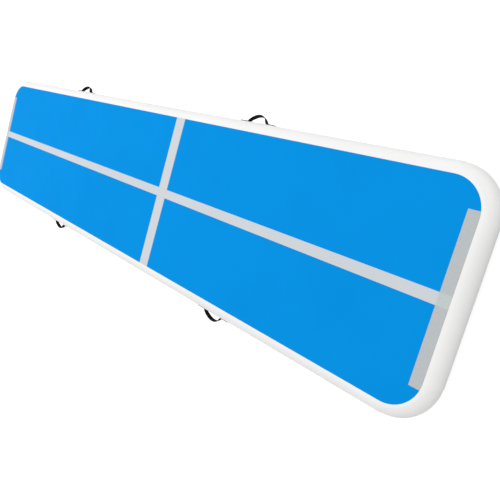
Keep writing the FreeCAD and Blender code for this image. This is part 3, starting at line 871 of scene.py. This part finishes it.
def handle_patch(handle, material):
    """Rounded patch with a pressed weld round its edge, wrapped on the wall."""
    low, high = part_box(handle.name + "_handle_patch")
    half_length = (high.x - low.x) / 2
    height = high.z - low.z
    corner_x = half_length - PATCH_CORNER
    shares = [p / height for p in edged(0.0, height, PATCH_STEP_UP, PATCH_EDGE)]

    def half_at(x):
        beyond = max(abs(x) - corner_x, 0.0)
        return height / 2 - PATCH_CORNER + math.sqrt(max(PATCH_CORNER ** 2 - beyond ** 2, 0.0))

    def lift_at(x, up, half):
        to_edge = min(half - abs(up), half_length - abs(x))
        plump = smooth((to_edge - PATCH_WELD) / WELD_FADE)
        return PATCH_SKIN * rounding(to_edge, PATCH_ROUND) * (WELD_THICK + (1 - WELD_THICK) * plump)

    def wrapped(x, radius, turn):
        return handle.at(x, radius * math.cos(turn) - handle.wall, radius * math.sin(turn))

    outer, inner, uvs = [], [], []
    for x in edged(-half_length, half_length, PATCH_STEP_X, PATCH_EDGE):
        half = half_at(x)
        ups = [(share - 0.5) * 2 * half for share in shares]
        turns = [math.asin(up / BULGE) for up in ups]
        outer.append([wrapped(x, BULGE + lift_at(x, up, half), t) for up, t in zip(ups, turns)])
        inner.append([wrapped(x, BULGE - PATCH_SINK, t) for t in turns])
        uvs.append([(x, t * BULGE) for t in turns])
    patch = shell(handle.name + "_handle_patch_skin", outer, inner, material, uvs)
    place(patch, "mat", "white_wall_fabric", handle.name + "_handle_patch")


def thread_bead(start, end, outwards):
    """Vertices of one stitch, ring by ring: a plump spindle half sunk between two holes."""
    direction = (end - start).normalized()
    across = direction.cross(outwards).normalized()
    vertices = []
    for share in THREAD_RINGS:
        swell = math.sin(math.pi * (THREAD_BLUNT + (1 - 2 * THREAD_BLUNT) * share))
        centre = start.lerp(end, share) + outwards * THREAD_RADIUS * (swell - THREAD_SINK)
        for k in range(THREAD_SIDES):
            turn = 2 * math.pi * k / THREAD_SIDES
            spoke = across * math.cos(turn) + outwards * math.sin(turn)
            vertices.append(centre + spoke * THREAD_RADIUS * swell)
    return vertices


def stitch_run(start, end):
    """Start and end of each stitch along a line in (along, across)."""
    length = math.hypot(end[0] - start[0], end[1] - start[1])
    count = max(1, round(length / (STITCH + STITCH_GAP)))
    filled = STITCH / (STITCH + STITCH_GAP)
    made = []
    for i in range(count):
        shares = (i / count, (i + filled) / count)
        made.append([(start[0] + (end[0] - start[0]) * s, start[1] + (end[1] - start[1]) * s)
                     for s in shares])
    return made


def tab_stitches(direction):
    """Stitches of one tab in (along, across): a box with a cross in it, and two bar tacks."""
    root = HANDLE_SPAN / 2
    near, far, half = root + STITCH_BOX[0], root + STITCH_BOX[1], STITCH_BOX[2]
    corners = [(near, -half), (far, -half), (far, half), (near, half)]
    sides = list(zip(corners, corners[1:] + corners[:1]))
    cross = [(corners[0], corners[2]), (corners[1], corners[3])]
    made = [stitch for start, end in sides + cross for stitch in stitch_run(start, end)]
    for inset in TACK_INSETS:
        middle = root + inset
        for across in spread(-TACK_HALF, TACK_HALF, TACK_THREADS):
            made.append([(middle - TACK_LENGTH / 2, across - TACK_LEAN),
                         (middle + TACK_LENGTH / 2, across + TACK_LEAN)])
    return [[(direction * along, across) for along, across in stitch] for stitch in made]


def handle_stitching(handles, material):
    """Every handle's thread as one piece."""
    bead_faces = tube_faces(len(THREAD_RINGS), THREAD_SIDES)
    lift = WEBBING_THICK + THREAD_LIFT
    vertices, faces = [], []
    for handle in handles:
        for direction in (1, -1):
            for (a0, c0), (a1, c1) in tab_stitches(direction):
                start = handle.on_tab(a0, c0, lift)
                end = handle.on_tab(a1, c1, lift)
                axis = Vector((start.x, handle.side * TUBE_Y, MID_Z))
                faces += [tuple(k + len(vertices) for k in face) for face in bead_faces]
                vertices += thread_bead(start, end, (start - axis).normalized())
    piece = new_piece("handle_stitching", vertices, faces, material)
    place(piece, "mat", "black_thread", "handle_bar_tacks")


def make_handles():
    handles = [HandlePlace(name) for name in HANDLES]
    webbing, patch = webbing_material(), wall_material("UV")
    for handle in handles:
        handle_strap(handle, webbing)
        handle_patch(handle, patch)
    handle_stitching(handles, thread_material())


# ---- Valve spring ----------------------------------------------------------------------------
def spring_rise(turns, length):
    """How far along its axis the wire has climbed after some turns, out of a free length."""
    closed = 2 * SPRING_WIRE
    open_pitch = (length - 2 * closed) / (SPRING_TURNS - 2)
    first = closed * min(turns, 1)
    open_part = open_pitch * min(max(turns - 1, 0), SPRING_TURNS - 2)
    last = closed * max(turns - SPRING_TURNS + 1, 0)
    return first + open_part + last


def make_valve_spring(material):
    """Coil spring with closed ends."""
    low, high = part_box("valve_spring")
    radius = (high.y - low.y) / 2 - SPRING_WIRE
    start = high.x - SPRING_WIRE
    length = high.x - low.x - 2 * SPRING_WIRE
    rings = SPRING_TURNS * SPRING_STEPS + 1
    vertices = []
    for i in range(rings):
        turn = 2 * math.pi * i / SPRING_STEPS
        outwards = Vector((0, math.cos(turn), math.sin(turn)))
        centre = Vector((start - spring_rise(i / SPRING_STEPS, length), 0, MID_Z)) + outwards * radius
        for k in range(SPRING_SIDES):
            around = 2 * math.pi * k / SPRING_SIDES
            spoke = outwards * math.cos(around) + X_AXIS * math.sin(around)
            vertices.append(centre + spoke * SPRING_WIRE)
    spring = new_piece("valve_coil_spring", vertices, tube_faces(rings, SPRING_SIDES), material)
    place(spring, "mat", "spring_steel", "valve_spring")
    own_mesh(spring)


# ---- Carried-over CAD nodes ------------------------------------------------------------------
def dress_cad_nodes():
    """Gives each CAD node that still shows its finish."""
    finishes = (
        (wall_material("Object"), ("inner_side_band", "top_seam_tape", "bottom_seam_tape", "valve_pad")),
        (plastic_material("grey_moulded_plastic", VALVE_GREY, 0.36),
         ("valve_body", "valve_seat", "valve_nut", "valve_spring_cup", "leash_collar", "cap_leash",
          "cap_shell")),
        (plastic_material("black_moulded_plastic", BLACK, 0.34), ("valve_stem",)),
        (rubber_material(), ("valve_gasket", "valve_washer", "valve_seal", "cap_gasket")),
        (yarn_material(), ("drop_stitch_yarns",)),
    )
    for material, names in finishes:
        for name in names:
            mesh = frame["nodes"][name].data
            mesh.materials.clear()
            mesh.materials.append(material)


# ---- Camera, floor and light -----------------------------------------------------------------
CAMERA_PLACE = Vector((2.9508, 0.2306, 1.9410))
CAMERA_FORWARD = Vector((-0.68629, -0.13109, -0.71542))
CAMERA_RIGHT = Vector((0.66826, 0.27463, -0.69138))
CAMERA_REACH = (0.05, 200)     # nearest and farthest that it sees
LENS = 38.281
FLOOR_SIZE = 60.0
FLOOR_GAP = 0.2 * MM           # the floor lies this far under the mat
FLOOR_GLOW = 0.45
SKY_UP = 0.86
SKY_DOWN = 0.26
SKY_FADE = (-0.25, 0.15)       # heights between which the sky goes from dim to bright


def make_camera():
    camera = bpy.data.objects.new("camera", bpy.data.cameras.new("camera"))
    bpy.context.scene.collection.objects.link(camera)
    forward = CAMERA_FORWARD.normalized()
    right = (CAMERA_RIGHT - forward * CAMERA_RIGHT.dot(forward)).normalized()
    axes = Matrix((right, right.cross(forward), -forward)).transposed()
    camera.matrix_world = Matrix.Translation(CAMERA_PLACE) @ axes.to_4x4()
    camera.data.lens = LENS
    camera.data.clip_start, camera.data.clip_end = CAMERA_REACH
    bpy.context.scene.camera = camera


def make_floor():
    half = FLOOR_SIZE / 2
    corners = [(-half, -half), (half, -half), (half, half), (-half, half)]
    look = Look("pale_floor", {"Roughness": 0.9, "Specular IOR Level": 0.0,
                               "Emission Strength": FLOOR_GLOW, "Emission Color": WHITE_LIGHT})
    look.colour(look.mix(look.noise(1.5), FLOOR_DARK, FLOOR_LIGHT))
    floor = new_piece("floor", [Vector((x, y, -FLOOR_GAP)) for x, y in corners], [(0, 1, 2, 3)],
                      look.material)
    floor.visible_diffuse = False


def make_sky():
    """Even white light from above and a dimmer one from below."""
    world = bpy.data.worlds.new("studio")
    bpy.context.scene.world = world
    world.use_nodes = True
    tree = world.node_tree
    direction = tree.nodes.new("ShaderNodeTexCoord")
    split = tree.nodes.new("ShaderNodeSeparateXYZ")
    fade = tree.nodes.new("ShaderNodeMapRange")
    tree.links.new(direction.outputs["Generated"], split.inputs[0])
    tree.links.new(split.outputs["Z"], fade.inputs["Value"])
    fade.inputs["From Min"].default_value = SKY_FADE[0]
    fade.inputs["From Max"].default_value = SKY_FADE[1]
    fade.inputs["To Min"].default_value = SKY_DOWN
    fade.inputs["To Max"].default_value = SKY_UP
    background = tree.nodes["Background"]
    tree.links.new(fade.outputs["Result"], background.inputs["Strength"])
    background.inputs["Color"].default_value = WHITE_LIGHT


def make_lamp(name, at, aim, size, power):
    """A square area lamp, sized in metres, that faces its aim."""
    data = bpy.data.lights.new(name, "AREA")
    data.size = size
    data.energy = power
    lamp = bpy.data.objects.new(name, data)
    bpy.context.scene.collection.objects.link(lamp)
    lamp.location = at
    lamp.rotation_mode = "QUATERNION"
    lamp.rotation_quaternion = (Vector(aim) - Vector(at)).to_track_quat("-Z", "Y")


def make_studio():
    make_camera()
    make_floor()
    make_sky()
    make_lamp("key_light", at=(-2.6, 1.2, 4.2), aim=(-0.4, 0.0, 0.1), size=4.0, power=50.0)
    make_lamp("side_light", at=(2.9, 4.0, 1.8), aim=(1.9, 0.3, 0.05), size=2.5, power=20.0)
    bpy.context.scene.view_settings.view_transform = "Standard"


# ---- Build -----------------------------------------------------------------------------------
make_studio()
make_walls()
make_decks()
make_stripes()
make_tapes()
make_handles()
make_valve_spring(steel_material())
dress_cad_nodes()

bpy.context.view_layer.update()
